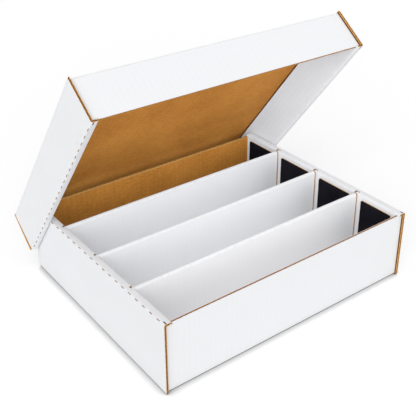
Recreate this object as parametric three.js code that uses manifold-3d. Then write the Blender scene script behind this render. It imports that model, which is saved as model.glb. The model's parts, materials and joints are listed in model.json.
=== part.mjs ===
// A four-row trading card storage box in white-faced corrugated board, with its loose lid tipped open.
// Millimetres, +Z up. The origin is the middle of the base's underside; +X runs along the rows, +Y to the back.

import * as THREE from "three";
import { mergeGeometries, mergeVertices } from "three/addons/utils/BufferGeometryUtils.js";
import Module from "manifold-3d";

const wasm = await Module();
wasm.setup();

// Corrugated board: two flat liners with a fluted medium glued between them
const board = {
  thickness: 3,
  liner: 0.4,
  medium: 0.35,
  flutePitch: 7.8,
  creaseRadius: 2.4,
  crushedEdge: 6,
};
board.creaseRadius = Math.min(board.creaseRadius, board.thickness);

// In both trays the front wall stands this much behind the ends of the side walls
const frontInset = 3;

// The base tray, outside sizes. A rim spans the outer panel, the inner panel and a dust flap with room to slide.
const base = {
  name: "base",
  length: 396,
  depth: 326,
  height: 101,
  flapRoom: 2,
  seam: 0,
  backLean: 0,
  backAcross: false,
};
base.rimWidth = 3 * board.thickness + base.flapRoom;

// The lid fits over the base with these clearances. Its back wall stands across the ends of its side walls,
// and has sprung so that it leans outward, in degrees.
const lidFit = {
  side: 1,
  front: 4.5,
  rear: 8,
  top: 1.2,
};
const lid = {
  name: "lid",
  height: 61,
  flapRoom: 1,
  seam: 0.3,
  backLean: 4,
  backAcross: true,
};
lid.rimWidth = 3 * board.thickness + lid.flapRoom;
lid.length = base.length + 2 * (lidFit.side + lid.rimWidth);
lid.depth = base.depth + lidFit.front + lidFit.rear + frontInset + 2 * board.thickness;

// The lid rocks on the back wall, about a line just inside that wall, until its own back wall leans on it
const lidSwing = {
  inset: 9.5,
  leanGap: 0.3,
  openDegrees: 52.4,
};

// Perforated crease along the outer edge of each rolled side wall
const perforation = {
  length: 6,
  width: 0.9,
  pitch: 15,
  endMargin: 10,
};

// Tabs under the inner panel of a rolled side wall, pushed down into slots in the floor
const lockTab = {
  count: 3,
  length: 42,
  recess: 0.6,
  slotClearance: 0.4,
};

// Flaps at the ends of the front and back walls, tucked inside the rolled side walls
const dustFlap = {
  length: 70,
  edgeGap: 2.5,
  cornerCut: 12,
  taper: 14,
};

// Dividers: one strip folded down its length, white side out, with a hooked tab at each end
const divider = {
  count: 3,
  pitchShare: 0.2666,
  leafGap: 0.4,
  endClearance: 0.5,
  tabLength: 4,
  tabHeight: 24,
  topDrop: 0.6,
  slotClearance: 0.3,
};
divider.thickness = 2 * board.thickness + divider.leafGap;

// Foam pads glued to the inside of the right end, one for each row
const pad = {
  thickness: 3,
  sideGap: 9,
  topDrop: 8,
  floorGap: 5,
  cornerRadius: 1.5,
  glue: 0.3,
};

const overrun = 1;
const weldDistance = 1e-4;
const arcSteps = 2;

function matt(color, roughness) {
  return new THREE.MeshStandardMaterial({ color, roughness, metalness: 0, flatShading: true });
}
const whiteLiner = matt(0xf4f5f7, 0.62);
const kraftLiner = matt(0xb07a42, 0.85);
const blackFoam = matt(0x15151a, 0.95);

// Frames that turn a flat outline into a prism along one of the three axes
const alongX = new THREE.Matrix4().makeBasis(
  new THREE.Vector3(0, 1, 0), new THREE.Vector3(0, 0, 1), new THREE.Vector3(1, 0, 0));
const alongY = new THREE.Matrix4().makeBasis(
  new THREE.Vector3(0, 0, 1), new THREE.Vector3(1, 0, 0), new THREE.Vector3(0, 1, 0));
const alongZ = new THREE.Matrix4();

function solidFrom(geometry) {
  const bare = geometry.clone();
  bare.deleteAttribute("normal");
  bare.deleteAttribute("uv");
  const merged = mergeVertices(bare, weldDistance);
  return new wasm.Manifold(new wasm.Mesh({
    numProp: 3,
    vertProperties: new Float32Array(merged.attributes.position.array),
    triVerts: new Uint32Array(merged.index.array),
  }));
}

function geometryFrom(solid) {
  const mesh = solid.getMesh();
  const geometry = new THREE.BufferGeometry();
  geometry.setAttribute("position", new THREE.BufferAttribute(mesh.vertProperties, 3));
  geometry.setIndex(new THREE.BufferAttribute(mesh.triVerts, 1));
  geometry.computeVertexNormals();
  return geometry;
}

function shapeOf(points) {
  return new THREE.Shape(points.map(([u, v]) => new THREE.Vector2(u, v)));
}

function prism(shape, frame, start, end) {
  const geometry = new THREE.ExtrudeGeometry(shape, {
    depth: end - start,
    bevelEnabled: false,
    curveSegments: arcSteps,
  });
  geometry.translate(0, 0, start);
  return geometry.applyMatrix4(frame);
}

function block(low, high) {
  const size = high.map((value, axis) => value - low[axis]);
  const geometry = new THREE.BoxGeometry(...size);
  return geometry.translate(...low.map((value, axis) => value + size[axis] / 2));
}

function blockSolid(low, high) {
  return solidFrom(block(low, high));
}

// Channels between the liners and the medium along a straight run of board, as triangles.
// place() turns a distance along the run and a depth into the board into a point of the outline.
function fluteChannels(run, place) {
  const half = board.flutePitch / 2;
  const rise = board.thickness - 2 * board.liner;
  const slope = Math.atan2(rise, half);
  const inset = board.medium / (2 * Math.sin(slope));
  const drop = board.medium / (2 * Math.cos(slope));
  const count = Math.max(0, Math.floor(run / half) - 1);
  const start = (run - (count + 1) * half) / 2;
  return Array.from({ length: count }, (_, index) => {
    const centre = start + (index + 1) * half;
    const foot = index % 2 ? board.thickness - board.liner : board.liner;
    const tip = index % 2 ? board.liner + drop : board.thickness - board.liner - drop;
    return [
      place(centre - half + inset, foot),
      place(centre + half - inset, foot),
      place(centre, tip),
    ];
  });
}

// All the channels of a run as one cutter, running from start to end along the frame's axis
function channelCutter(channels, frame, start, end) {
  return solidFrom(mergeGeometries(channels.map((channel) => prism(shapeOf(channel), frame, start, end))));
}

// Evenly spaced middles of things that repeat along a length
function spread(count, length) {
  return Array.from({ length: count }, (_, index) => ((index + 0.5) / count - 0.5) * length);
}

// Left side wall of a tray: outer panel, rim and inner panel rolled from one strip, flutes running front to back
function rolledWallOutline(tray) {
  const t = board.thickness;
  const r = board.creaseRadius;
  const outer = -tray.length / 2;
  const inner = outer + tray.rimWidth;
  const top = tray.height;
  const foot = t + tray.seam;
  const outline = new THREE.Shape();
  // drawn with height first and length second, as the prism along Y needs
  outline.moveTo(0, outer + t);
  outline.lineTo(top - t, outer + t);
  outline.lineTo(top - t, inner - t);
  outline.lineTo(foot, inner - t);
  outline.lineTo(foot, inner);
  outline.lineTo(top - r, inner);
  outline.absarc(top - r, inner - r, r, Math.PI / 2, 0, true);
  outline.lineTo(top, outer + r);
  outline.absarc(top - r, outer + r, r, 0, -Math.PI / 2, true);
  outline.lineTo(r, outer);
  outline.absarc(r, outer + r, r, -Math.PI / 2, -Math.PI, true);
  outline.closePath();
  return outline;
}

function rolledWallChannels(tray) {
  const r = board.creaseRadius;
  const outer = -tray.length / 2;
  const inner = outer + tray.rimWidth;
  const foot = board.thickness + tray.seam;
  return [
    ...fluteChannels(tray.height - 2 * r, (u, n) => [r + u, outer + n]),
    ...fluteChannels(tray.height - r - foot, (u, n) => [foot + u, inner - n]),
  ];
}

// Slits through the outer crease of the rim, cut on the diagonal
function perforationCuts(tray) {
  const r = board.creaseRadius;
  const reach = 2 * board.thickness;
  const room = tray.depth - 2 * perforation.endMargin;
  const count = Math.floor(room / perforation.pitch) + 1;
  return spread(count, count * perforation.pitch).map((middle) => {
    const slit = new THREE.BoxGeometry(reach, perforation.length, perforation.width);
    slit.rotateY(Math.PI / 4);
    slit.translate(-tray.length / 2 + r, middle, tray.height - r);
    return solidFrom(slit);
  });
}

function lockTabMiddles(tray) {
  return spread(lockTab.count, tray.depth - 2 * board.thickness);
}

// The inner faces of the front and back walls, with a gap left for the seam
function insideSpan(tray, seam) {
  const end = tray.depth / 2 - board.thickness - seam;
  return [frontInset - end, end];
}

function leftWallSolid(tray, slotMiddles) {
  const t = board.thickness;
  const outer = -tray.length / 2;
  const inner = outer + tray.rimWidth;
  const halfDepth = tray.depth / 2;
  const [front, back] = insideSpan(tray, tray.seam);
  const end = tray.backAcross ? back : halfDepth;
  let wall = solidFrom(prism(rolledWallOutline(tray), alongY, -halfDepth, end));
  wall = wall.subtract(channelCutter(rolledWallChannels(tray), alongY, -halfDepth - overrun, end + overrun));
  // the inner panel is short at both ends, where the front and back walls pass under the rim
  for (const faces of [[-halfDepth - overrun, front], [back, halfDepth + overrun]]) {
    wall = wall.subtract(blockSolid(
      [outer + t, faces[0], -overrun],
      [inner + overrun, faces[1], tray.height - t]));
  }
  for (const middle of lockTabMiddles(tray)) {
    wall = wall.add(blockSolid(
      [inner - t, middle - lockTab.length / 2, lockTab.recess],
      [inner, middle + lockTab.length / 2, t + tray.seam + overrun]));
  }
  for (const cut of perforationCuts(tray)) {
    wall = wall.subtract(cut);
  }
  const slotHalf = divider.thickness / 2 + divider.slotClearance;
  for (const middle of slotMiddles) {
    wall = wall.subtract(blockSolid(
      [inner - divider.tabLength - divider.slotClearance, middle - slotHalf,
        tray.height - divider.tabHeight - divider.slotClearance],
      [inner + overrun, middle + slotHalf, tray.height + overrun]));
  }
  return wall;
}

// Front wall of a tray: a single board with upright flutes, open along its raw top edge. It stands between the
// side walls, or across their ends.
function frontWallSolid(tray, inset, across) {
  const t = board.thickness;
  const halfLength = tray.length / 2 - (across ? 0 : t + tray.seam);
  const outer = -tray.depth / 2 + inset;
  const top = tray.height - t - tray.seam;
  const r = board.creaseRadius;
  const section = new THREE.Shape();
  // the fold at the bottom is rounded on the outside, and crushed flat so that the flutes stop above it
  section.moveTo(outer + t, 0);
  section.lineTo(outer + t, top);
  section.lineTo(outer, top);
  section.lineTo(outer, r);
  section.absarc(outer + r, r, r, Math.PI, 1.5 * Math.PI, false);
  section.closePath();
  const channels = fluteChannels(2 * halfLength, (u, n) => [-halfLength + u, outer + n]);
  return solidFrom(prism(section, alongX, -halfLength, halfLength))
    .subtract(channelCutter(channels, alongZ, board.crushedEdge, top + overrun));
}

// Floor panel, with a slot for each lock tab
function floorSolid(tray) {
  const t = board.thickness;
  const x = tray.length / 2 - t - tray.seam;
  const [front, back] = insideSpan(tray, tray.seam);
  let floor = blockSolid([-x, front, 0], [x, back, t]);
  const slotOuter = tray.length / 2 - tray.rimWidth + t + lockTab.slotClearance;
  const slotInner = tray.length / 2 - tray.rimWidth - lockTab.slotClearance;
  const slotHalf = lockTab.length / 2 + lockTab.slotClearance;
  for (const middle of lockTabMiddles(tray)) {
    for (const side of [-1, 1]) {
      const faces = [side * slotInner, side * slotOuter].sort((a, b) => a - b);
      floor = floor.subtract(blockSolid(
        [faces[0], middle - slotHalf, -overrun],
        [faces[1], middle + slotHalf, t + overrun]));
    }
  }
  return floor;
}

// Dust flap at the left end of the front wall, standing in the hollow of the rolled side wall. Its top edge
// tapers, so that it still fits when the wall leans.
function dustFlapSolid(tray, inset) {
  const t = board.thickness;
  const near = -tray.depth / 2 + inset + t + tray.seam;
  const far = near + dustFlap.length;
  const low = t + tray.seam + dustFlap.edgeGap;
  const high = tray.height - t - dustFlap.edgeGap;
  const cut = dustFlap.cornerCut;
  const outline = shapeOf([
    [near, low], [far - cut, low], [far, low + cut], [far, high - dustFlap.taper], [near + cut, high],
    [near, high - cut],
  ]);
  const hollow = tray.rimWidth - 2 * t;
  const outer = -tray.length / 2 + t + (hollow - t) / 2;
  return solidFrom(prism(outline, alongX, outer, outer + t));
}

function dividerMiddles() {
  const [front, back] = insideSpan(base, 0);
  const pitch = (back - front) * divider.pitchShare;
  return spread(divider.count, divider.count * pitch).map((place) => (front + back) / 2 + place);
}

// Front and back of each row of cards
function rowSpans() {
  const half = divider.thickness / 2;
  const [front, back] = insideSpan(base, 0);
  const middles = dividerMiddles();
  const fronts = [front, ...middles.map((middle) => middle + half)];
  const backs = [...middles.map((middle) => middle - half), back];
  return fronts.map((place, index) => [place, backs[index]]);
}

// Divider: two leaves joined by a rounded fold along the top
function dividerSolid(middle) {
  const t = board.thickness;
  const half = divider.thickness / 2;
  const slit = divider.leafGap / 2;
  const top = base.height - divider.topDrop;
  const outline = new THREE.Shape();
  outline.moveTo(middle - half, t);
  outline.lineTo(middle - slit, t);
  outline.lineTo(middle - slit, top - t);
  outline.lineTo(middle + slit, top - t);
  outline.lineTo(middle + slit, t);
  outline.lineTo(middle + half, t);
  outline.lineTo(middle + half, top - half);
  outline.absarc(middle, top - half, half, 0, Math.PI, false);
  outline.closePath();
  const body = base.length / 2 - base.rimWidth - divider.endClearance;
  const reach = base.length / 2 - base.rimWidth + divider.tabLength;
  const geometry = new THREE.ExtrudeGeometry(outline, {
    depth: 2 * reach,
    bevelEnabled: false,
    curveSegments: 2 * arcSteps,
  });
  geometry.translate(0, 0, -reach);
  let solid = solidFrom(geometry.applyMatrix4(alongX));
  for (const side of [-1, 1]) {
    const faces = [side * body, side * (reach + overrun)].sort((a, b) => a - b);
    solid = solid.subtract(blockSolid(
      [faces[0], middle - divider.thickness, 0],
      [faces[1], middle + divider.thickness, base.height - divider.tabHeight]));
  }
  return solid;
}

function padGeometry(span) {
  const r = pad.cornerRadius;
  const front = span[0] + pad.sideGap;
  const back = span[1] - pad.sideGap;
  const top = base.height - pad.topDrop;
  const low = board.thickness + pad.floorGap;
  const outline = new THREE.Shape();
  outline.moveTo(front + r, low);
  outline.lineTo(back - r, low);
  outline.absarc(back - r, low + r, r, -Math.PI / 2, 0, false);
  outline.lineTo(back, top - r);
  outline.absarc(back - r, top - r, r, 0, Math.PI / 2, false);
  outline.lineTo(front + r, top);
  outline.absarc(front + r, top - r, r, Math.PI / 2, Math.PI, false);
  outline.lineTo(front, low + r);
  outline.absarc(front + r, low + r, r, Math.PI, 1.5 * Math.PI, false);
  const face = base.length / 2 - base.rimWidth - pad.glue;
  return prism(outline, alongX, face - pad.thickness, face);
}

function addMesh(group, name, geometry, material) {
  const mesh = new THREE.Mesh(geometry, material);
  mesh.name = name;
  group.add(mesh);
  return mesh;
}

function mirrored(solid, x, y) {
  return solid.scale([x, y, 1]);
}

// A folded tray: floor, front and back walls, two rolled side walls and four dust flaps. The side names are
// those of the side at -X and of the side at +X.
function buildTray(tray, floorName, slotMiddles, sideNames) {
  const group = new THREE.Group();
  const left = leftWallSolid(tray, slotMiddles);
  // the back wall and its two flaps turn together about the fold at the floor
  const foldY = tray.depth / 2 - board.thickness;
  const fold = new THREE.Group();
  fold.position.set(0, foldY, 0);
  fold.rotation.x = -THREE.MathUtils.degToRad(tray.backLean);
  const back = new THREE.Group();
  back.position.set(0, -foldY, 0);
  fold.add(back);
  group.add(fold);
  addMesh(group, `${tray.name}_${floorName}`, geometryFrom(floorSolid(tray)), kraftLiner);
  [1, -1].forEach((sign, index) => {
    const name = `${tray.name}_${sideNames[index]}_wall`;
    addMesh(group, name, geometryFrom(mirrored(left, sign, 1)), whiteLiner);
  });
  // the back wall is the front wall turned about, with no inset
  const ends = [["front", group, 1, frontInset, false], ["back", back, -1, 0, tray.backAcross]];
  for (const [end, holder, turn, inset, across] of ends) {
    const wall = mirrored(frontWallSolid(tray, inset, across), 1, turn);
    addMesh(holder, `${tray.name}_${end}_wall`, geometryFrom(wall), whiteLiner);
    [1, -1].forEach((sign, index) => {
      const name = `${tray.name}_dust_flap_${end}_${sideNames[index]}`;
      addMesh(holder, name, geometryFrom(mirrored(dustFlapSolid(tray, inset), sign, turn)), whiteLiner);
    });
  }
  return group;
}

function buildBase() {
  const middles = dividerMiddles();
  const group = buildTray(base, "floor", middles, ["left", "right"]);
  middles.forEach((middle, index) => {
    addMesh(group, `divider_${index + 1}`, geometryFrom(dividerSolid(middle)), whiteLiner);
  });
  rowSpans().forEach((span, index) => {
    addMesh(group, `end_pad_${index + 1}`, padGeometry(span), blackFoam);
  });
  return group;
}

// Height of the line that the lid turns about: once open, the inner edge of its back wall's rim lies
// leanGap behind the base's back wall
function swingHeight(shutTop) {
  const lean = THREE.MathUtils.degToRad(lid.backLean);
  const open = THREE.MathUtils.degToRad(lidSwing.openDegrees);
  const wallHeight = lid.height - board.thickness - lid.seam;
  const reach = lidSwing.inset + lidFit.rear + wallHeight * Math.sin(lean);
  const edge = shutTop - wallHeight * Math.cos(lean);
  return edge + (reach * Math.cos(open) - lidSwing.inset - lidSwing.leanGap) / Math.sin(open);
}

function buildLid() {
  const tray = buildTray(lid, "top", [], ["right", "left"]);
  const shutTop = base.height + lidFit.top + board.thickness;
  const swingY = base.depth / 2 - lidSwing.inset;
  const swingZ = swingHeight(shutTop);
  // upside down over the base, as when shut, then tipped back about the line it rocks on
  tray.rotation.y = Math.PI;
  tray.position.set(0, (lidFit.rear - lidFit.front - frontInset) / 2 - swingY, shutTop - swingZ);
  const tipped = new THREE.Group();
  tipped.position.set(0, swingY, swingZ);
  tipped.rotation.x = -THREE.MathUtils.degToRad(lidSwing.openDegrees);
  tipped.add(tray);
  return tipped;
}

const box = new THREE.Group();
box.add(buildBase());
box.add(buildLid());

export default box;
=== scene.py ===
# A four-row card storage box in white-faced corrugated board, with its lid tipped open on the back wall.
# Board pieces are built in millimetres in the frame of their own tray, then placed in metres.
import json
import math

import bpy
import numpy as np
from mathutils import Matrix, Vector


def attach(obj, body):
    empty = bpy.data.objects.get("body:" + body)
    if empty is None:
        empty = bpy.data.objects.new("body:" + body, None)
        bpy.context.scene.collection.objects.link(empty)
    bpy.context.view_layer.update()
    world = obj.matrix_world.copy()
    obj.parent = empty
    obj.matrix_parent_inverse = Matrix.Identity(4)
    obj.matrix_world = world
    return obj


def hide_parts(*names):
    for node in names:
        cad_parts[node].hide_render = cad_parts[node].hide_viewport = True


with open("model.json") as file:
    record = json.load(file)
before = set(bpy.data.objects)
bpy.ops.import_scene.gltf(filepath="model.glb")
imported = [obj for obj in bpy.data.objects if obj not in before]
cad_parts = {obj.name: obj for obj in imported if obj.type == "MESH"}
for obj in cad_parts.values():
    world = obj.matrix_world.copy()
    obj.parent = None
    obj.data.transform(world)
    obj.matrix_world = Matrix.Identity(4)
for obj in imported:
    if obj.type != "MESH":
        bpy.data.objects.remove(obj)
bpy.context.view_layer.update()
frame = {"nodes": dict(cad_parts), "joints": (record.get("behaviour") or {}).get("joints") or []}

print("frame loaded:", len(frame["nodes"]), "nodes")

millimetre = 0.001
noTurn = Matrix.Identity(4)

# Corrugated board: two liners with a fluted medium between them
board = {
    "liner": 0.4,
    "medium": 0.35,
    "flutePitch": 7.8,
    "fluteWander": 3.0,       # how far the flutes seem to stray where they show through a liner
    "foldRadius": 2.4,        # outside of a fold
    "creaseRadius": 0.2,      # inside of a fold, where the board is crushed
    "crushedShare": 0.35,     # how high the flutes still stand at a fold
    "crushedReach": 4.0,      # how far from a fold they are crushed
    "stepsPerFlute": 10,
    "arcSteps": 8,
    "edgeBand": 1.6,          # width of the worn band beside a raw edge
    "cellSpan": 14.0,         # longest cell of a liner's mesh
    "leastCell": 1.0,         # a long gap is not divided closer than this to another stop
    "sameStop": 0.02,         # stops nearer than this become one
    "sharpAngle": 32.0,       # degrees between two faces that meet in a sharp edge
}


def nodeBox(node, turn=noTurn):
    # lowest and highest corner of a node in millimetres, after a turn in metres
    points = np.array([turn @ vertex.co for vertex in frame["nodes"][node].data.vertices])
    return points.min(0) / millimetre, points.max(0) / millimetre


def turnAbout(joint, angle):
    pivot = Matrix.Translation(joint["pos_m"])
    return pivot @ Matrix.Rotation(angle, 4, Vector(joint["axis"])) @ pivot.inverted()


backWallLean = {"base": 0.0, "lid": 4.0}      # degrees: the lid's back wall has sprung outward


def trayFrom(name, turn=noTurn):
    sideLow, sideHigh = nodeBox(name + "_left_wall", turn)
    frontLow, frontHigh = nodeBox(name + "_front_wall", turn)
    backHigh = nodeBox(name + "_back_wall", turn)[1]
    outerHalf = max(-sideLow[0], sideHigh[0])
    thickness = frontHigh[1] - frontLow[1]
    seam = outerHalf - thickness - frontHigh[0]
    # the back wall stands between the side walls, or across their ends
    across = backHigh[0] > frontHigh[0] + thickness / 2
    rear = sideHigh[1] + (thickness + seam if across else 0)
    return {
        "name": name,         # also the name of its body
        "length": 2 * outerHalf,
        "depth": rear - sideLow[1],
        "height": sideHigh[2] - sideLow[2],
        "rim": sideHigh[0] - sideLow[0],
        "thickness": thickness,
        "seam": seam,
        "inset": frontLow[1] - sideLow[1],     # the front wall stands behind the ends of the side walls
        "across": across,
        "sideEnd": sideHigh[1] - (rear + sideLow[1]) / 2,
        "middleY": (rear + sideLow[1]) / 2,
        "top": sideHigh[2],
        "lean": backWallLean[name],
    }


lidJoint = next(joint for joint in frame["joints"] if joint["name"] == "lid_tilt")
openAngle = math.radians(lidJoint["range_deg"][1])
base = trayFrom("base")
lid = trayFrom("lid", turnAbout(lidJoint, openAngle))      # measured shut
base["place"] = Matrix.Scale(millimetre, 4)
# the lid is built like the base, with its top as the floor, then turned over and tipped open
lid["place"] = (turnAbout(lidJoint, -openAngle)
                @ Matrix.Translation((0, lid["middleY"] * millimetre, lid["top"] * millimetre))
                @ Matrix.Rotation(math.pi, 4, "Y") @ Matrix.Scale(millimetre, 4))
print("trays:", [(tray["name"], round(tray["length"], 1), round(tray["depth"], 1), round(tray["height"], 1),
                  round(tray["rim"], 2), round(tray["seam"], 2), tray["across"]) for tray in (base, lid)])


# Node helpers for the materials

def feed(tree, socket, value):
    # a socket takes another node's output or a plain value
    if isinstance(value, bpy.types.NodeSocket):
        tree.links.new(value, socket)
    else:
        socket.default_value = value


def addNode(tree, kind, inputs=None, **settings):
    node = tree.nodes.new(kind)
    for key, value in settings.items():
        setattr(node, key, value)
    for key, value in (inputs or {}).items():
        feed(tree, node.inputs[key], value)
    return node


def newGroup(name, inputs, outputs):
    tree = bpy.data.node_groups.new(name, "ShaderNodeTree")
    for label, kind, value in inputs:
        socket = tree.interface.new_socket(name=label, in_out="INPUT", socket_type=kind)
        if value is not None:
            socket.default_value = value
    for label, kind in outputs:
        tree.interface.new_socket(name=label, in_out="OUTPUT", socket_type=kind)
    return tree, tree.nodes.new("NodeGroupInput"), tree.nodes.new("NodeGroupOutput")


def mathNode(tree, operation, first, second=0.0, clamp=False):
    node = addNode(tree, "ShaderNodeMath", {0: first, 1: second}, operation=operation, use_clamp=clamp)
    return node.outputs[0]


def mixColour(tree, factor, first, second):
    node = tree.nodes.new("ShaderNodeMix")
    node.data_type = "RGBA"
    colourSockets = [socket for socket in node.inputs if socket.type == "RGBA"]
    feed(tree, node.inputs[0], factor)
    feed(tree, colourSockets[0], first)
    feed(tree, colourSockets[1], second)
    return next(socket for socket in node.outputs if socket.type == "RGBA")


def remap(tree, value, low, high, newLow=0.0, newHigh=1.0):
    node = addNode(tree, "ShaderNodeMapRange",
                   {"Value": value, "From Min": low, "From Max": high, "To Min": newLow, "To Max": newHigh})
    return node.outputs[0]


floatKind, vectorKind = "NodeSocketFloat", "NodeSocketVector"


def makeFibreGrain():
    # paper fibre: noise drawn out across the flutes, in cells per millimetre
    tree, given, made = newGroup("fibreGrain", [
        ("Board", vectorKind, None), ("Across", floatKind, 0.35), ("Along", floatKind, 1.6),
        ("Contrast", floatKind, 1.0)], [("Mask", floatKind), ("Height", floatKind)])
    split = addNode(tree, "ShaderNodeSeparateXYZ", {0: given.outputs["Board"]})
    stretched = addNode(tree, "ShaderNodeCombineXYZ", {
        0: mathNode(tree, "MULTIPLY", split.outputs[0], given.outputs["Across"]),
        1: mathNode(tree, "MULTIPLY", split.outputs[1], given.outputs["Along"])})
    noise = addNode(tree, "ShaderNodeTexNoise", {
        "Vector": stretched.outputs[0], "Scale": 1.0, "Detail": 5.0, "Roughness": 0.62, "Distortion": 0.6})
    centred = mathNode(tree, "SUBTRACT", noise.outputs[0], 0.5)
    spreadOut = mathNode(tree, "MULTIPLY", centred, given.outputs["Contrast"])
    mask = mathNode(tree, "ADD", spreadOut, 0.5, clamp=True)
    tree.links.new(mask, made.inputs["Mask"])
    tree.links.new(noise.outputs[0], made.inputs["Height"])
    return tree


def makeWashboard():
    # the flutes show faintly through the liner
    tree, given, made = newGroup("washboard", [
        ("Board", vectorKind, None), ("Pitch", floatKind, board["flutePitch"])],
        [("Wave", floatKind)])
    split = addNode(tree, "ShaderNodeSeparateXYZ", {0: given.outputs["Board"]})
    wobble = addNode(tree, "ShaderNodeTexNoise", {
        "Vector": given.outputs["Board"], "Scale": 0.03, "Detail": 2.0})
    stray = mathNode(tree, "MULTIPLY", wobble.outputs[0], board["fluteWander"])
    shifted = mathNode(tree, "ADD", split.outputs[0], stray)
    turns = mathNode(tree, "DIVIDE", shifted, given.outputs["Pitch"])
    wave = mathNode(tree, "SINE", mathNode(tree, "MULTIPLY", turns, math.tau))
    half = mathNode(tree, "MULTIPLY", wave, 0.5)
    tree.links.new(mathNode(tree, "ADD", half, 0.5), made.inputs["Wave"])
    return tree


wornPatches = (0.5, 0.68)      # from this value of the noise a rubbed spot begins, and here it is whole


def makeEdgeWear():
    # rubbed folds and raw edges: the third number of the board attribute is 1 there
    tree, given, made = newGroup("edgeWear", [
        ("Board", vectorKind, None), ("Place", vectorKind, None), ("Size", floatKind, 60.0),
        ("Amount", floatKind, 0.5)], [("Mask", floatKind)])
    split = addNode(tree, "ShaderNodeSeparateXYZ", {0: given.outputs["Board"]})
    noise = addNode(tree, "ShaderNodeTexNoise", {
        "Vector": given.outputs["Place"], "Scale": given.outputs["Size"], "Detail": 6.0, "Roughness": 0.7})
    patches = remap(tree, noise.outputs[0], *wornPatches)
    wearAndHighlight = mathNode(tree, "MULTIPLY", patches, split.outputs[2])
    tree.links.new(mathNode(tree, "MULTIPLY", wearAndHighlight, given.outputs["Amount"], clamp=True),
                   made.inputs["Mask"])
    return tree


def makeMottle():
    # slow, soft change of tone over a sheet
    tree, given, made = newGroup("mottle", [
        ("Place", vectorKind, None), ("Size", floatKind, 8.0), ("Contrast", floatKind, 1.0)],
        [("Mask", floatKind)])
    noise = addNode(tree, "ShaderNodeTexNoise", {
        "Vector": given.outputs["Place"], "Scale": given.outputs["Size"], "Detail": 3.0, "Roughness": 0.5})
    centred = mathNode(tree, "SUBTRACT", noise.outputs[0], 0.5)
    mask = mathNode(tree, "ADD", mathNode(tree, "MULTIPLY", centred, given.outputs["Contrast"]), 0.5,
                    clamp=True)
    tree.links.new(mask, made.inputs["Mask"])
    return tree


effects = {"grain": makeFibreGrain(), "washboard": makeWashboard(), "wear": makeEdgeWear(),
           "mottle": makeMottle()}


def newMaterial(name, specular, roughness=0.5):
    material = bpy.data.materials.new(name)
    material.use_nodes = True
    tree = material.node_tree
    shader = tree.nodes["Principled BSDF"]
    shader.inputs["Specular IOR Level"].default_value = specular
    shader.inputs["Roughness"].default_value = roughness
    return material, tree, shader


def effectNode(tree, name, inputs):
    return addNode(tree, "ShaderNodeGroup", inputs, node_tree=effects[name])


def boardSockets(tree):
    boardPlace = addNode(tree, "ShaderNodeAttribute", attribute_name="board")
    objectPlace = addNode(tree, "ShaderNodeTexCoord")
    return boardPlace.outputs["Vector"], objectPlace.outputs["Object"]


def addBump(tree, shader, height, distance):
    bump = addNode(tree, "ShaderNodeBump", {"Height": height, "Distance": distance})
    tree.links.new(bump.outputs[0], shader.inputs["Normal"])


def paperSheet(tree, shader, finish):
    # what the white and the brown liner share: fibre, mottle, and flutes that show through
    boardPlace, objectPlace = boardSockets(tree)
    grain = effectNode(tree, "grain", {"Board": boardPlace, **finish["grain"]})
    mottle = effectNode(tree, "mottle", {"Place": objectPlace, **finish["mottle"]})
    wave = effectNode(tree, "washboard", {"Board": boardPlace})
    ofGrain, ofMottle, ofWave = finish["toneShares"]
    tone = mathNode(tree, "ADD", mathNode(tree, "MULTIPLY", grain.outputs["Mask"], ofGrain),
                    mathNode(tree, "MULTIPLY", mottle.outputs["Mask"], ofMottle))
    tone = mathNode(tree, "ADD", tone, mathNode(tree, "MULTIPLY", wave.outputs["Wave"], ofWave), clamp=True)
    roughness = remap(tree, grain.outputs["Mask"], 0.0, 1.0, *finish["roughness"])
    tree.links.new(roughness, shader.inputs["Roughness"])
    height = mathNode(tree, "ADD", mathNode(tree, "MULTIPLY", wave.outputs["Wave"], finish["washboard"]),
                      mathNode(tree, "MULTIPLY", grain.outputs["Height"], finish["fibre"]))
    addBump(tree, shader, height, millimetre)
    return boardPlace, objectPlace, tone


whiteFinish = {
    "colour": (0.885, 0.893, 0.912, 1),
    "shade": (0.835, 0.842, 0.862, 1),
    "wornThrough": (0.60, 0.47, 0.34, 1),
    "roughness": (0.47, 0.62),
    "specular": 0.35,
    "grain": {"Across": 0.5, "Along": 1.2, "Contrast": 1.4},
    "mottle": {"Size": 14.0, "Contrast": 1.6},
    "wear": {"Size": 110.0, "Amount": 0.15},
    "toneShares": (0.35, 0.3, 0.12),      # of the grain, the mottle and the flutes
    "washboard": 0.06,        # millimetres
    "fibre": 0.03,            # millimetres
}


def makeWhite():
    material, tree, shader = newMaterial("clayCoatedWhite", whiteFinish["specular"])
    boardPlace, objectPlace, tone = paperSheet(tree, shader, whiteFinish)
    wear = effectNode(tree, "wear", {"Board": boardPlace, "Place": objectPlace, **whiteFinish["wear"]})
    paper = mixColour(tree, tone, whiteFinish["colour"], whiteFinish["shade"])
    worn = mixColour(tree, wear.outputs["Mask"], paper, whiteFinish["wornThrough"])
    tree.links.new(worn, shader.inputs["Base Color"])
    return material


kraftFinish = {
    "light": (0.77, 0.340, 0.062, 1),
    "dark": (0.42, 0.143, 0.016, 1),
    "colour": (0.60, 0.238, 0.036, 1),
    "colourShare": 0.35,      # how much of this middle colour evens the light and the dark out
    "fleck": (0.31, 0.12, 0.020, 1),
    "bounce": (0.88, 0.88, 0.89, 1),
    "roughness": (0.74, 0.90),
    "specular": 0.25,
    "grain": {"Across": 0.12, "Along": 0.55, "Contrast": 2.6},
    "mottle": {"Size": 18.0, "Contrast": 2.2},
    "flecks": {"Across": 0.9, "Along": 3.0, "Contrast": 8.0},
    "toneShares": (0.5, 0.35, 0.07),
    "toneSpan": (0.2, 0.8),   # the tones that are wholly light and wholly dark
    "fleckSpan": (0.63, 0.72),
    "fleckAmount": 0.45,
    "washboard": 0.04,
    "fibre": 0.05,
}


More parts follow.
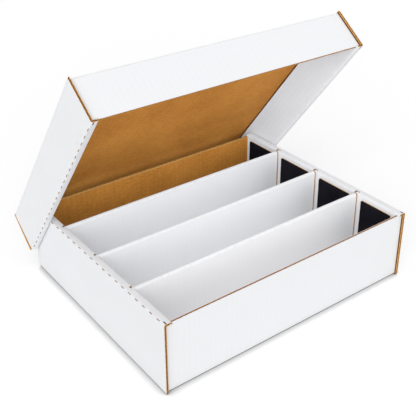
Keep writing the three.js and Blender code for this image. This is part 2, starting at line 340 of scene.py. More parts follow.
def makeKraft():
    material, tree, shader = newMaterial("kraftLiner", kraftFinish["specular"])
    boardPlace, _, tone = paperSheet(tree, shader, kraftFinish)
    flecks = effectNode(tree, "grain", {"Board": boardPlace, **kraftFinish["flecks"]})
    spreadTone = remap(tree, tone, *kraftFinish["toneSpan"])
    paper = mixColour(tree, spreadTone, kraftFinish["light"], kraftFinish["dark"])
    paper = mixColour(tree, kraftFinish["colourShare"], paper, kraftFinish["colour"])
    fleckMask = remap(tree, flecks.outputs["Height"], *kraftFinish["fleckSpan"], 0.0,
                      kraftFinish["fleckAmount"])
    flecked = mixColour(tree, fleckMask, paper, kraftFinish["fleck"])
    # the light that kraft throws on the white liners is neutral, so that they stay as white as they are
    rays = tree.nodes.new("ShaderNodeLightPath")
    seen = mixColour(tree, rays.outputs["Is Diffuse Ray"], flecked, kraftFinish["bounce"])
    tree.links.new(seen, shader.inputs["Base Color"])
    return material


rawFinish = {
    "rawEdge": {"light": (0.84, 0.485, 0.16, 1), "dark": (0.52, 0.28, 0.08, 1), "mottleSize": 300.0},
    "fluting": {"light": (0.42, 0.20, 0.065, 1), "dark": (0.26, 0.105, 0.030, 1), "mottleSize": 220.0},
    # painted shade: a dark brown laid on the lip's inner face and along the inner panels' foot, where shade
    # falls
    "paintedShade": {"light": (0.16, 0.048, 0.005, 1), "dark": (0.12, 0.032, 0.003, 1), "mottleSize": 300.0},
    "roughness": 0.92,
    "specular": 0.15,
    "mottleContrast": 2.6,
    "grain": {"Across": 1.4, "Along": 1.4, "Contrast": 2.0},
    "fibre": 0.12,            # millimetres
}


def makeRaw(name):
    material, tree, shader = newMaterial(name, rawFinish["specular"], rawFinish["roughness"])
    boardPlace, objectPlace = boardSockets(tree)
    kind = rawFinish[name]
    mottle = effectNode(tree, "mottle", {"Place": objectPlace, "Size": kind["mottleSize"],
                                         "Contrast": rawFinish["mottleContrast"]})
    grain = effectNode(tree, "grain", {"Board": boardPlace, **rawFinish["grain"]})
    both = mathNode(tree, "ADD", mottle.outputs["Mask"], grain.outputs["Mask"])
    tone = mathNode(tree, "MULTIPLY", both, 0.5)
    tree.links.new(mixColour(tree, tone, kind["light"], kind["dark"]), shader.inputs["Base Color"])
    addBump(tree, shader, mottle.outputs["Mask"], rawFinish["fibre"] * millimetre)
    return material


foamFinish = {
    "colour": (0.0060, 0.0056, 0.0085, 1),
    "poreRimTone": (0.0135, 0.0130, 0.0190, 1),
    "roughness": 0.9,
    "specular": 0.05,
    "mottle": {"Size": 45.0, "Contrast": 1.8},
    "poreSize": 900.0,        # pores in a metre
    "poreSpan": (0.1, 0.6),   # a pore's floor and its rim, as shares of its width
    "poreDepth": 0.10,        # millimetres
}


def makeFoam():
    material, tree, shader = newMaterial("blackFoam", foamFinish["specular"], foamFinish["roughness"])
    _, objectPlace = boardSockets(tree)
    pores = addNode(tree, "ShaderNodeTexVoronoi", {"Vector": objectPlace, "Scale": foamFinish["poreSize"]})
    mottle = effectNode(tree, "mottle", {"Place": objectPlace, **foamFinish["mottle"]})
    poreMask = remap(tree, pores.outputs["Distance"], *foamFinish["poreSpan"])
    # the foam is darker in the floors of its pores and lighter on their rims
    tone = mathNode(tree, "MULTIPLY", poreMask, mottle.outputs["Mask"], clamp=True)
    foam = mixColour(tree, tone, foamFinish["colour"], foamFinish["poreRimTone"])
    tree.links.new(foam, shader.inputs["Base Color"])
    addBump(tree, shader, poreMask, foamFinish["poreDepth"] * millimetre)
    return material


white = makeWhite()
rawEdge = makeRaw("rawEdge")
boardMaterials = [white, makeKraft(), rawEdge, makeRaw("fluting"), makeRaw("paintedShade")]
whiteSide, kraftSide, rawSide, flutingSide, paintedShadeSide = range(len(boardMaterials))
blackFoam = makeFoam()
print("materials made:", len(bpy.data.materials))


# Outlines: lists of points in two directions, with the board to the right of the way they run

def cornerOffsets(corners, distance):
    corners = np.array(corners, float)
    runs = np.diff(corners, axis=0)
    runs /= np.linalg.norm(runs, axis=1)[:, None]
    sides = np.stack([runs[:, 1], -runs[:, 0]], 1)
    moved = [corners[0] + sides[0] * distance]
    for corner, before, after in zip(corners[1:], sides, sides[1:]):
        moved.append(corner + (before + after) / (1 + before @ after) * distance)
    moved.append(corners[-1] + sides[-1] * distance)
    return moved


def roundedPath(corners, radius):
    # each inner corner becomes an arc
    corners = [np.array(corner, float) for corner in corners]
    points = [corners[0]]
    for before, corner, after in zip(corners, corners[1:], corners[2:]):
        runIn = (corner - before) / np.linalg.norm(corner - before)
        runOut = (after - corner) / np.linalg.norm(after - corner)
        turn = math.atan2(runIn[0] * runOut[1] - runIn[1] * runOut[0], runIn @ runOut)
        start = corner - runIn * radius * math.tan(abs(turn) / 2)
        toCentre = math.copysign(radius, turn) * np.array([-runIn[1], runIn[0]])
        arm = -toCentre
        for angle in np.linspace(0, turn, board["arcSteps"] + 1):
            cosine, sine = math.cos(angle), math.sin(angle)
            points.append(start + toCentre + np.array([arm[0] * cosine - arm[1] * sine,
                                                       arm[0] * sine + arm[1] * cosine]))
    points.append(corners[-1])
    return np.array(points)


def insertPoints(path, places):
    # new points at (index, share) places of a path
    rows = []
    for index, start in enumerate(path[:-1]):
        rows.append(start)
        for share in sorted(share for at, share in places if at == index):
            rows.append(start + (path[index + 1] - start) * share)
    rows.append(path[-1])
    return np.array(rows)


def stopsAlong(path, levels):
    # where a path crosses the levels (axis, value), a worn band from each end and fold, and long gaps
    places = []
    for index, (start, end) in enumerate(zip(path[:-1], path[1:])):
        run = np.linalg.norm(end - start)
        shares = set()
        for axis, value in levels:
            if (start[axis] - value) * (end[axis] - value) < 0:
                shares.add((value - start[axis]) / (end[axis] - start[axis]))
        if run > 3 * board["edgeBand"]:
            shares.update((board["edgeBand"] / run, 1 - board["edgeBand"] / run))
        for share in np.linspace(0, 1, max(1, math.ceil(run / board["cellSpan"])) + 1)[1:-1]:
            if all(abs(share - other) * run > board["leastCell"] for other in shares):
                shares.add(share)
        places += [(index, share) for share in shares]
    return places


def lengthStops(low, high, features):
    # the places along a length where a cell ends: both ends with their worn bands, features, and long gaps
    stops = {low, high, low + board["edgeBand"], high - board["edgeBand"]}
    stops.update(value for value in features if low < value < high)
    merged = []
    for value in sorted(stops):
        if not merged or value - merged[-1] > board["sameStop"]:
            merged.append(value)
    filled = [merged[0]]
    for value in merged[1:]:
        parts = max(1, math.ceil((value - filled[-1]) / board["cellSpan"]))
        start = filled[-1]
        filled += [start + (value - start) * part / parts for part in range(1, parts + 1)]
    return np.array(filled)


# Meshes are gathered in a pile, then turned into one object for each piece

def newPile():
    return {"points": [], "faces": [], "finish": [], "board": []}


def addSheet(pile, face, back, boardPlace, finish, keep=None):
    # a closed sheet between two grids of points; cells that keep() refuses become holes with edges
    rows, columns = face.shape[0] - 1, face.shape[1] - 1
    kept = np.ones((rows, columns), bool)
    if keep:
        middles = (face[:-1, :-1] + face[1:, 1:] + back[:-1, :-1] + back[1:, 1:]) / 4
        for row in range(rows):
            for column in range(columns):
                kept[row, column] = keep(*middles[row, column])
    first = np.argwhere(kept)[0]
    corner = face[first[0], first[1]]
    normal = np.cross(face[first[0] + 1, first[1]] - corner, face[first[0], first[1] + 1] - corner)
    turned = normal @ (corner - back[first[0], first[1]]) < 0
    number = {}

    def vertex(side, row, column):
        key = (side, row, column)
        if key not in number:
            number[key] = len(pile["points"])
            pile["points"].append((face, back)[side][row, column])
            pile["board"].append(boardPlace[row, column])
        return number[key]

    def addFace(corners, material):
        numbers = [vertex(*corner) for corner in corners]
        pile["faces"].append(numbers[::-1] if turned else numbers)
        pile["finish"].append(material)

    for row, column in np.argwhere(kept):
        ring = [(row, column), (row + 1, column), (row + 1, column + 1), (row, column + 1)]
        addFace([(0, *corner) for corner in ring], finish[0])
        addFace([(1, *corner) for corner in ring[::-1]], finish[1])
        beyond = [(row, column - 1), (row + 1, column), (row, column + 1), (row - 1, column)]
        for index, (nextRow, nextColumn) in enumerate(beyond):
            inside = 0 <= nextRow < rows and 0 <= nextColumn < columns
            if not inside or not kept[nextRow, nextColumn]:
                start, end = ring[index], ring[(index + 1) % len(ring)]
                addFace([(0, *end), (0, *start), (1, *start), (1, *end)], finish[2])


def runLengths(path):
    return np.concatenate([[0], np.cumsum(np.linalg.norm(np.diff(path, axis=0), axis=1))])


# How an outline's two directions and the length that it is drawn out along lie in a tray
def alongX(u, v, w):
    return w, u, v


def alongY(u, v, w):
    return u, w, v


def alongZ(u, v, w):
    return u, v, w


def addLiner(pile, corners, offsets, radii, stops, place, finish, levels=(), keep=None, flutesWith="length",
             warp=None):
    # a liner: an outline drawn out along the stops. flutesWith says which way the flutes run.
    paths = [roundedPath(cornerOffsets(corners, offset), radius) for offset, radius in zip(offsets, radii)]
    places = stopsAlong(paths[0], levels)
    paths = [insertPoints(path, places) for path in paths]
    grids = []
    for path in paths:
        grid = np.array([[place(u, v, w) for w in stops] for u, v in path])
        grids.append(warp(grid) if warp else grid)
    distance = runLengths(paths[0])
    endWorn = np.isin(stops, (stops[0], stops[-1]))
    boardPlace = np.zeros(grids[0].shape)
    pathAxis, lengthAxis = (0, 1) if flutesWith == "length" else (1, 0)
    boardPlace[:, :, pathAxis] = distance[:, None]
    boardPlace[:, :, lengthAxis] = stops[None, :]
    boardPlace[:, :, 2] = np.maximum(foldShares(distance)[:, None], endWorn[None, :])
    addSheet(pile, grids[0], grids[1], boardPlace, finish, keep)


def foldShares(distance):
    # 1 on folds, where the points of an arc lie close, and at raw ends, and 0 between them
    wide = np.diff(distance) > board["leastCell"]
    shares = np.ones(len(distance))
    shares[1:-1][wide[:-1] & wide[1:]] = 0.0
    return shares


def addFlutes(pile, corners, radius, stops, place, thickness, keep=None):
    # the fluted medium: a wave about the middle of the board, crushed at the folds
    middleCorners = np.array(cornerOffsets(corners, thickness / 2))
    middle = roundedPath(middleCorners, radius)
    distance = runLengths(middle)
    step = board["flutePitch"] / board["stepsPerFlute"]
    places = np.linspace(0, distance[-1], math.ceil(distance[-1] / step) + 1)
    points = np.column_stack([np.interp(places, distance, middle[:, axis]) for axis in (0, 1)])
    runs = np.gradient(points, axis=0)
    runs /= np.linalg.norm(runs, axis=1)[:, None]
    sides = np.stack([runs[:, 1], -runs[:, 0]], 1)
    standing = np.ones(len(places))
    for fold in runLengths(middleCorners)[1:-1]:
        near = np.clip(np.abs(places - fold) / board["crushedReach"], 0, 1)
        standing = np.minimum(standing, board["crushedShare"] + (1 - board["crushedShare"]) * near)
    height = (thickness - 2 * board["liner"] - board["medium"]) / 2 * standing
    turn = math.tau / board["flutePitch"]
    wave = height * np.sin(places * turn)
    slope = height * turn * np.cos(places * turn)
    halfThick = board["medium"] / 2 * np.sqrt(1 + slope ** 2)
    grids = []
    for sign in (-1, 1):
        moved = points + sides * (wave + sign * halfThick)[:, None]
        grids.append(np.array([[place(u, v, w) for w in stops] for u, v in moved]))
    boardPlace = np.zeros(grids[0].shape)
    boardPlace[:, :, 0] = places[:, None]
    boardPlace[:, :, 1] = stops[None, :]
    addSheet(pile, grids[0], grids[1], boardPlace, (flutingSide, flutingSide, rawSide), keep)


def addPlate(pile, low, high, finish):
    # a plain closed plate, for cores that only show at their edges
    (x0, y0, z0), (x1, y1, z1) = low, high
    face = np.array([[(x, y0, z) for z in (z0, z1)] for x in (x0, x1)], float)
    back = np.array([[(x, y1, z) for z in (z0, z1)] for x in (x0, x1)], float)
    addSheet(pile, face, back, face.copy(), (finish,) * 3)


def repaint(pile, wanted, finish):
    # another finish for the faces whose middle is wanted
    for index, face in enumerate(pile["faces"]):
        if wanted(*np.mean([pile["points"][number] for number in face], axis=0)):
            pile["finish"][index] = finish


def mirrorPile(pile, signs):
    pile["points"] = [point * np.array(signs) for point in pile["points"]]
    if np.prod(signs) < 0:
        pile["faces"] = [face[::-1] for face in pile["faces"]]


def newObject(name, data):
    made = bpy.data.objects.new(name, data)
    bpy.context.scene.collection.objects.link(made)
    return made


def makePiece(name, pile, place, materials, body, node):
    mesh = bpy.data.meshes.new(name)
    points = [place @ Vector(point) for point in pile["points"]]
    mesh.from_pydata(points, [], pile["faces"])
    for material in materials:
        mesh.materials.append(material)
    mesh.polygons.foreach_set("material_index", pile["finish"])
    attribute = mesh.attributes.new("board", "FLOAT_VECTOR", "POINT")
    attribute.data.foreach_set("vector", np.array(pile["board"], np.float32).ravel())
    mesh.shade_smooth()
    mesh.set_sharp_from_angle(angle=math.radians(board["sharpAngle"]))
    mesh.validate()
    piece = newObject(name, mesh)
    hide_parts(node)
    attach(piece, body)
    return piece


# Rolled side wall: outer panel, perforated fold, flat rim and inner panel, from one strip

sideWall = {
    "tabRecess": 0.6,         # the lock tabs end this far above the underside
    "slitLength": 6.0,
    "slitWidth": 0.9,
    "slitPitch": 15.0,
    "slitEndMargin": 10.0,
    "tabCount": 3,
    "tabLength": 42.0,
    "footShadowBand": 2.0,          # height of the painted shadow line along the inner panel's foot
    "cutBand": 1.0,           # the cut end looks raw for this far in
    "lipReach": 0.5,          # faces up to this far from the outer panel's inner side belong to its lip
    "skin": 0.1,              # faces this near to a surface lie on it
}
dividerHook = {"length": 4.0, "height": 24.0, "clearance": 0.3}


def spread(count, length):
    return [((index + 0.5) / count - 0.5) * length for index in range(count)]


def tabPlaces(tray):
    half = sideWall["tabLength"] / 2
    return [(middle - half, middle + half)
            for middle in spread(sideWall["tabCount"], tray["depth"] - 2 * tray["thickness"])]


def slitPlaces(tray):
    count = int((tray["depth"] - 2 * sideWall["slitEndMargin"]) / sideWall["slitPitch"]) + 1
    half = sideWall["slitLength"] / 2
    return [(middle - half, middle + half) for middle in spread(count, count * sideWall["slitPitch"])]


def within(value, spans):
    return any(low < value < high for low, high in spans)


def buildSideWall(tray, slots):
    thick, radius, liner = tray["thickness"], board["foldRadius"], board["liner"]
    outer = -tray["length"] / 2
    inner = outer + tray["rim"]
    halfDepth = tray["depth"] / 2
    top = tray["height"]
    foot = thick + tray["seam"]
    innerFront, innerBack = tray["inset"] + foot - halfDepth, halfDepth - foot
    panelSide = outer + thick
    footTop = foot + sideWall["footShadowBand"]
    cutEnd = sideWall["cutBand"] - halfDepth
    tabs, slits = tabPlaces(tray), slitPlaces(tray)
    slotX = inner - dividerHook["length"] - dividerHook["clearance"]
    slotZ = top - dividerHook["height"] - dividerHook["clearance"]
    arcCentre = (outer + radius, top - radius)
    slitAngle = sideWall["slitWidth"] / 2 / radius

    def keepPanel(x, y, z):
        if x > panelSide and z < top - thick and not innerFront < y < innerBack:
            return False
        if x > panelSide and z < foot and not within(y, tabs):
            return False
        return not (x > slotX and z > slotZ and within(y, slots))

    def keepOuter(x, y, z):
        if within(y, slits):
            angle = math.atan2(z - arcCentre[1], arcCentre[0] - x)
            if abs(angle - math.pi / 4) < slitAngle:
                return False
        return keepPanel(x, y, z)

    corners = [(outer + foot, 0), (outer, 0), (outer, top), (inner, top), (inner, sideWall["tabRecess"])]
    features = [innerFront, innerBack, cutEnd] + [edge for span in tabs + slots for edge in span]
    plainStops = lengthStops(-halfDepth, tray["sideEnd"], features)
    slitEdges = [edge for span in slits for edge in span]
    slitStops = lengthStops(-halfDepth, tray["sideEnd"], features + slitEdges)
    levels = [(1, top - thick), (1, foot), (1, footTop)]
    if slots:
        levels += [(1, slotZ), (0, slotX)]
    pile = newPile()
    addLiner(pile, corners, (0, liner), (radius, radius - liner), slitStops, alongY,
             (whiteSide, kraftSide, rawSide), levels, keepOuter)
    insideCorners = [(outer, thick)] + corners[2:]
    insideRadii = (board["creaseRadius"] + liner, board["creaseRadius"])
    addLiner(pile, insideCorners, (thick - liner, thick), insideRadii, plainStops, alongY,
             (kraftSide, kraftSide, rawSide), levels, keepPanel)
    addFlutes(pile, corners, radius - thick / 2, plainStops, alongY, thick, keepPanel)

    # painted shadow: the lowest band of the inner panel is painted dark where the panel meets the floor or
    # top panel
    def onFoot(x, y, z):
        return x > inner - sideWall["skin"] and z < footTop

    def onLip(x, y, z):
        # the lip stands out beyond the front wall; its inner face gets painted shade
        return -sideWall["skin"] < x - panelSide < sideWall["lipReach"] and y < innerFront

    repaint(pile, onFoot, paintedShadeSide)
    # painted shade on the lip's inner face; its first stretch at the cut end takes the raw edge's colour
    # instead
    repaint(pile, onLip, paintedShadeSide)
    repaint(pile, lambda x, y, z: onLip(x, y, z) and y < cutEnd, rawSide)
    return pile


frontWall = {"endCore": 0.6}      # a closed core behind the flutes' ends, this thick


def buildFrontWall(tray, inset, across, coated, wearAndHighlight):
    # coated: the white coat comes over the cut edges of both liners
    # wearAndHighlight: a pale band is painted along the inner liner's cut edge, a painted highlight
    thick, radius, liner = tray["thickness"], board["foldRadius"], board["liner"]
    halfLength = tray["length"] / 2 - (0 if across else thick + tray["seam"])
    outer = inset - tray["depth"] / 2
    foot = thick + tray["seam"]
    top = tray["height"] - foot
    stops = lengthStops(-halfLength, halfLength, [])
    coreEnd = halfLength - frontWall["endCore"]
    cutSide = whiteSide if coated else rawSide
    pile = newPile()
    outline = [(outer + foot, 0), (outer, 0), (outer, top)]
    addLiner(pile, outline, (0, liner), (radius, radius - liner), stops, alongX,
             (whiteSide, kraftSide, cutSide), flutesWith="path")
    innerFace = [(outer, thick), (outer, top)]
    addLiner(pile, innerFace, (thick - liner, thick), (0, 0), stops, alongX,
             (kraftSide, kraftSide, cutSide), flutesWith="path")
    addFlutes(pile, [(coreEnd, outer), (-coreEnd, outer)], 0, np.array([thick, top]), alongZ, thick)
    for side in (-1, 1):
        low, high = sorted((side * halfLength, side * coreEnd))
        addPlate(pile, (low, outer + liner, thick), (high, outer + thick - liner, top), rawSide)
    # painted highlight: the inner liner's top band takes the raw edge's paler colour
    if wearAndHighlight:
        repaint(pile, lambda x, y, z: y > outer + thick / 2 and z > top - board["edgeBand"], rawSide)
    return pile


panel = {"slotClearance": 0.4}      # round each lock tab


def buildPanel(tray):
    # the floor of the base, or the top of the lid
    thick = tray["thickness"]
    halfX = tray["length"] / 2 - thick - tray["seam"]
    halfY = tray["depth"] / 2 - thick - tray["seam"]
    gap = panel["slotClearance"]
    slotIn = tray["length"] / 2 - tray["rim"] - gap
    slotOut = slotIn + thick + 2 * gap
    tabs = [(low - gap, high + gap) for low, high in tabPlaces(tray)]

    def keep(x, y, z):
        return not (slotIn < abs(x) < slotOut and within(y, tabs))

    stops = lengthStops(tray["inset"] - halfY, halfY, [edge for span in tabs for edge in span])
    levels = [(0, sign * value) for sign in (-1, 1) for value in (slotIn, slotOut)]
    pile = newPile()
    addLiner(pile, [(halfX, 0), (-halfX, 0)], (0, thick), (0, 0), stops, alongY,
             (whiteSide, kraftSide, rawSide), levels, keep)
    return pile


# Divider: one strip folded down its length, hooked into both side walls

dividers = {
    "topDrop": 0.6,           # below the tops of the walls
    "endClearance": 0.5,
    "bows": (0.7, -0.6, 0.5),      # how far the middle of each stands off a straight line
    "coreRecess": 0.35,       # how far the core stands back from a raw edge
    "scoreWidth": 1.9,        # the white liner is cut through here, beside each end
    "scoreEnd": 0.35,         # from the score to the end of the strip
}


def buildDivider(tray, low, high, bow):
    thick, liner, recess = tray["thickness"], board["liner"], dividers["coreRecess"]
    half = (high - low) / 2
    middle = (high + low) / 2
    top = tray["height"] - dividers["topDrop"]
    bodyEnd = tray["length"] / 2 - tray["rim"] - dividers["endClearance"]
    hookEnd = tray["length"] / 2 - tray["rim"] + dividerHook["length"]
    hookZ = tray["height"] - dividerHook["height"]
    scoreOut = bodyEnd - dividers["scoreEnd"]
    scoreIn = scoreOut - dividers["scoreWidth"]

    def keep(x, y, z):
        return abs(x) < bodyEnd or z > hookZ

    def keepWhite(x, y, z):
        # the score runs over the fold at the right end only
        return keep(x, y, z) and not (scoreIn < abs(x) < scoreOut and (x > 0 or z < hookZ))

    def keepCore(x, y, z):
        return abs(x) < bodyEnd - recess or z > hookZ + recess

    def warp(grid):
        grid = grid.copy()
        grid[..., 1] += bow * np.clip(1 - (grid[..., 0] / bodyEnd) ** 2, 0, 1)
        return grid

    def stopsAt(end, *values):
        return lengthStops(-end, end, [sign * value for sign in (-1, 1) for value in values])

    outline = [(middle - half, thick), (middle - half, top), (middle + half, top), (middle + half, thick)]
    # offsets from the outline, stops, finish, level of the hook, and the cells that are kept
    layers = [
        ((0, liner), stopsAt(hookEnd, bodyEnd, scoreIn, scoreOut),
         (whiteSide, kraftSide, rawSide), hookZ, keepWhite),
        ((thick - liner, thick), stopsAt(hookEnd, bodyEnd, bodyEnd - board["edgeBand"]),
         (kraftSide, kraftSide, rawSide), hookZ, keep),
        ((liner, thick - liner), stopsAt(hookEnd - recess, bodyEnd - recess),
         (flutingSide,) * 3, hookZ + recess, keepCore),
    ]
    pile = newPile()
    for offsets, stops, finish, level, kept in layers:
        radii = [half - offset for offset in offsets]
        addLiner(pile, outline, offsets, radii, stops, alongX, finish, [(1, level)], kept, "path", warp)
    return pile


# End pad: a thin foam sheet with a brown backing sheet, glued to the right end

pads = {
    "backing": 0.8,           # thickness of the backing sheet
    "glueGap": 0.02,
    "cornerRadius": 1.5,
    "bevel": 0.7,
    "fill": 0.9,
    "dimple": 0.12,           # depth
    "dimplePlaces": ((0.31, 1), (0.27, 2)),      # radians in a millimetre and phase, in y and z
    "foamSteps": (0.1, 0.3, 0.7, 1.1, 1.5),      # grid lines at these distances from an edge
    "backingSteps": (0.5, 1.0, 1.5),
    "middleLines": 7,         # grid lines between the corners
}


def gridLines(half, radius, steps):
    lines = {-half, half, *np.linspace(radius - half, half - radius, pads["middleLines"])}
    lines.update(sign * (half - step) for step in steps for sign in (-1, 1))
    return np.array(sorted(lines))


def roundedGrid(low, high, steps):
    # a grid over a rectangle in y and z whose corners are drawn in to arcs
    radius = pads["cornerRadius"]
    middle, half = (low + high) / 2, (high - low) / 2
    ys, zs = [gridLines(value, radius, steps) for value in half]
    grid = np.zeros((len(ys), len(zs), 2))
    for row, y in enumerate(ys):
        for column, z in enumerate(zs):
            overY = max(0, abs(y) - (half[0] - radius))
            overZ = max(0, abs(z) - (half[1] - radius))
            if overY and overZ:
                newY = overY * math.sqrt(1 - overZ ** 2 / (2 * radius ** 2))
                newZ = overZ * math.sqrt(1 - overY ** 2 / (2 * radius ** 2))
                drawnIn = (math.copysign(half[0] - radius + newY, y),
                           math.copysign(half[1] - radius + newZ, z))
            else:
                drawnIn = (y, z)
            grid[row, column] = middle + np.array(drawnIn)
    edge = np.minimum.outer(half[0] - np.abs(ys), half[1] - np.abs(zs))
    return grid, edge


def sheetPile(grid, faceX, backX):
    # a closed sheet over a grid in y and z, from one x to another
    face = np.dstack([np.broadcast_to(faceX, grid.shape[:2]), grid])
    back = np.dstack([np.broadcast_to(backX, grid.shape[:2]), grid])
    pile = newPile()
    addSheet(pile, face, back, np.dstack([grid, np.zeros(grid.shape[:2])]), (0, 0, 0))
    return pile


def buildPad(low, high):
    frontX, backX = low[0], high[0]
    seamX = backX - pads["backing"]
    grid, edge = roundedGrid(low[1:], high[1:], pads["foamSteps"])
    short = np.clip(1 - edge / pads["bevel"], 0, 1)
    rounding = pads["bevel"] * (1 - np.sqrt(1 - short ** 2))
    waves = [np.sin(grid[..., axis] * turns + phase)
             for axis, (turns, phase) in enumerate(pads["dimplePlaces"])]
    dimples = pads["dimple"] * (waves[0] * waves[1] + 1) / 2
    foam = sheetPile(grid, frontX + rounding + dimples * (short == 0), seamX)
    backingGrid, _ = roundedGrid(low[1:], high[1:], pads["backingSteps"])
    backing = sheetPile(backingGrid, seamX + pads["glueGap"], backX)
    return foam, backing


def buildTray(tray, panelName, slots, sideNames):
    name = tray["name"]

    def add(node, pile, turn=noTurn):
        makePiece(node + "_board", pile, tray["place"] @ turn, boardMaterials, name, node)

    add(f"{name}_{panelName}", buildPanel(tray))
    add(f"{name}_front_wall", buildFrontWall(tray, tray["inset"], False, tray is base, False))
    backWall = buildFrontWall(tray, 0, tray["across"], False, True)
    mirrorPile(backWall, (1, -1, 1))
    fold = Matrix.Translation((0, tray["depth"] / 2 - tray["thickness"], 0))
    lean = fold @ Matrix.Rotation(-math.radians(tray["lean"]), 4, "X") @ fold.inverted()
    add(f"{name}_back_wall", backWall, lean)
    for sign, side in zip((1, -1), sideNames):
        wall = buildSideWall(tray, slots)
        mirrorPile(wall, (sign, 1, 1))
        add(f"{name}_{side}_wall", wall)
    print("tray built:", name)


dividerBoxes = [nodeBox(f"divider_{index}") for index in (1, 2, 3)]
dividerSlots = [(low[1] - dividerHook["clearance"], high[1] + dividerHook["clearance"])
                for low, high in dividerBoxes]
buildTray(base, "floor", dividerSlots, ("left", "right"))
buildTray(lid, "top", [], ("right", "left"))      # the lid is built upside down
for index, (low, high) in enumerate(dividerBoxes):
    node = f"divider_{index + 1}"
    pile = buildDivider(base, low[1], high[1], dividers["bows"][index])
    makePiece(node + "_board", pile, base["place"], boardMaterials, "base", node)
for index in (1, 2, 3, 4):
    node = f"end_pad_{index}"
    foam, backing = buildPad(*nodeBox(node))
    foamPiece = makePiece(node + "_foam", foam, base["place"], [blackFoam], "base", node)
    makePiece(node + "_backing", backing, base["place"], [rawEdge], "base", node)
print("dividers and pads built")

# The dust flaps keep their own solids and get the board's white finish
for name, node in frame["nodes"].items():
    if "dust_flap" in name:
        node.data.materials.clear()
        node.data.materials.append(white)


# Floor, light and camera

studio = {
    "floorSize": 9.0,
    "floorDrop": 0.0002,      # metres below the box's underside
    "floorColour": (0.72, 0.72, 0.72, 1),
    "floorRoughness": 0.9,
    "floorGlow": 0.38,        # how much of the floor's white the camera sees apart from the lamps' light
    # reach in metres, how open a spot has to be to lose no light, and how much a closed spot loses
    "shades": (
        (0.02, 0.80, 0.97),      # where the box meets the floor
        (0.10, 0.52, 0.85),      # the hollow under the open lid
    ),
    "shadeSamples": 16,
    "worldStrength": 0.64,
    "keyDirection": (-0.61, -0.69, 0.40),     # towards the lamp
    "keyStrength": 1.78,
    "keyAngle": 60.0,         # degrees across, for soft shadows
}

# Soft panels that the camera doesn't see
softPanels = {
    "fill": {      # in the open mouth of the box, turned inward
        "place": (0.0, -0.085, 0.207), "towards": (0.0, 0.75, -0.66), "size": (0.38, 0.24), "power": 0.03},
    "row": {       # just over the floor of the rows, turned up
        "place": (0.01, -0.0375, 0.006), "towards": (0.0, 0.0, 1.0), "size": (0.35, 0.235), "power": 0.121},
    "gap": {       # behind the back wall, turned to the lid
        "place": (0.0, 0.176, 0.082), "towards": (0.0, 0.79, 0.61), "size": (0.37, 0.02), "power": 0.0055},
}


def seenDirectly(tree):
    # 1 for rays that go from the camera to a surface, also by way of gloss or glass
    rays = tree.nodes.new("ShaderNodeLightPath")
    direct = mathNode(tree, "MAXIMUM", rays.outputs["Is Camera Ray"], rays.outputs["Is Glossy Ray"])
    return mathNode(tree, "MAXIMUM", direct, rays.outputs["Is Transmission Ray"])


def makeFloor():
    half = studio["floorSize"] / 2
    mesh = bpy.data.meshes.new("floor")
    mesh.from_pydata([(-half, -half, 0), (half, -half, 0), (half, half, 0), (-half, half, 0)], [],
                     [(0, 1, 2, 3)])
    material, tree, shader = newMaterial("paleFloor", 0.0, studio["floorRoughness"])
    shader.inputs["Emission Color"].default_value = (1, 1, 1, 1)
    # painted shadow: beside and under the box, where it is closed in, both the floor's colour and its glow
    # fall off
    losses = []
    for reach, openFrom, depth in studio["shades"]:
        openness = addNode(tree, "ShaderNodeAmbientOcclusion", {"Distance": reach},
                           samples=studio["shadeSamples"])
        losses.append(remap(tree, openness.outputs["AO"], 0.0, openFrom, 1 - depth, 1.0))
    contact = mathNode(tree, "MULTIPLY", *losses)
    colour = mixColour(tree, contact, (0, 0, 0, 1), studio["floorColour"])
    tree.links.new(colour, shader.inputs["Base Color"])
    glow = mathNode(tree, "MULTIPLY", contact, studio["floorGlow"])
    tree.links.new(mathNode(tree, "MULTIPLY", seenDirectly(tree), glow), shader.inputs["Emission Strength"])
    mesh.materials.append(material)
    floor = newObject("floor", mesh)
    floor.location.z = -studio["floorDrop"]


def makeWorld():
    world = bpy.data.worlds.new("studio")
    bpy.context.scene.world = world
    world.use_nodes = True
    tree = world.node_tree
    background = tree.nodes["Background"]
    background.inputs["Color"].default_value = (1, 1, 1, 1)
    tree.links.new(remap(tree, seenDirectly(tree), 0.0, 1.0, studio["worldStrength"], 1.0),
                   background.inputs["Strength"])


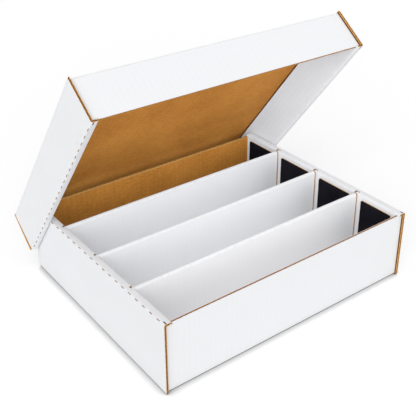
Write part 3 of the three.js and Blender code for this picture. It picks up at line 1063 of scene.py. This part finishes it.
def makeKeyLight():
    light = bpy.data.lights.new("key", "SUN")
    light.energy = studio["keyStrength"]
    light.angle = math.radians(studio["keyAngle"])
    lamp = newObject("key", light)
    lamp.rotation_euler = Vector(studio["keyDirection"]).to_track_quat("Z", "Y").to_euler()


def makePanelLight(name, values):
    light = bpy.data.lights.new(name, "AREA")
    light.shape = "RECTANGLE"
    light.size, light.size_y = values["size"]
    light.energy = values["power"]
    lamp = newObject(name, light)
    lamp.location = values["place"]
    lamp.rotation_euler = Vector(values["towards"]).to_track_quat("-Z", "Y").to_euler()
    lamp.visible_camera = False
    lamp.visible_glossy = False


# Where the photograph was taken from, in metres and degrees
photoCamera = {
    "place": (-0.5585, -0.7249, 0.6418),
    "yaw": 36.60,
    "pitch": -27.32,
    "roll": -0.34,
    "focalPixels": 770.9,
    "centrePixels": (205.0, 165.0),
    "imagePixels": 416,
    "sensor": 36.0,
}


def makeCamera():
    yaw, pitch, roll = [math.radians(photoCamera[key]) for key in ("yaw", "pitch", "roll")]
    ahead = Vector((math.sin(yaw) * math.cos(pitch), math.cos(yaw) * math.cos(pitch), math.sin(pitch)))
    right = Vector((math.cos(yaw), -math.sin(yaw), 0))
    up = right.cross(ahead)
    rolledRight = right * math.cos(roll) + up * math.sin(roll)
    rolledUp = up * math.cos(roll) - right * math.sin(roll)
    data = bpy.data.cameras.new("camera")
    image = photoCamera["imagePixels"]
    data.sensor_width = photoCamera["sensor"]
    data.lens = photoCamera["focalPixels"] * photoCamera["sensor"] / image
    data.shift_x = (image / 2 - photoCamera["centrePixels"][0]) / image
    data.shift_y = (photoCamera["centrePixels"][1] - image / 2) / image
    camera = newObject("camera", data)
    camera.matrix_world = Matrix.Translation(photoCamera["place"]) @ Matrix(
        (rolledRight, rolledUp, -ahead)).transposed().to_4x4()
    bpy.context.scene.camera = camera


makeFloor()
makeWorld()
makeKeyLight()
for name, values in softPanels.items():
    makePanelLight(name, values)
makeCamera()
bpy.context.scene.view_settings.view_transform = "Standard"
print("studio made")

bpy.context.view_layer.update()
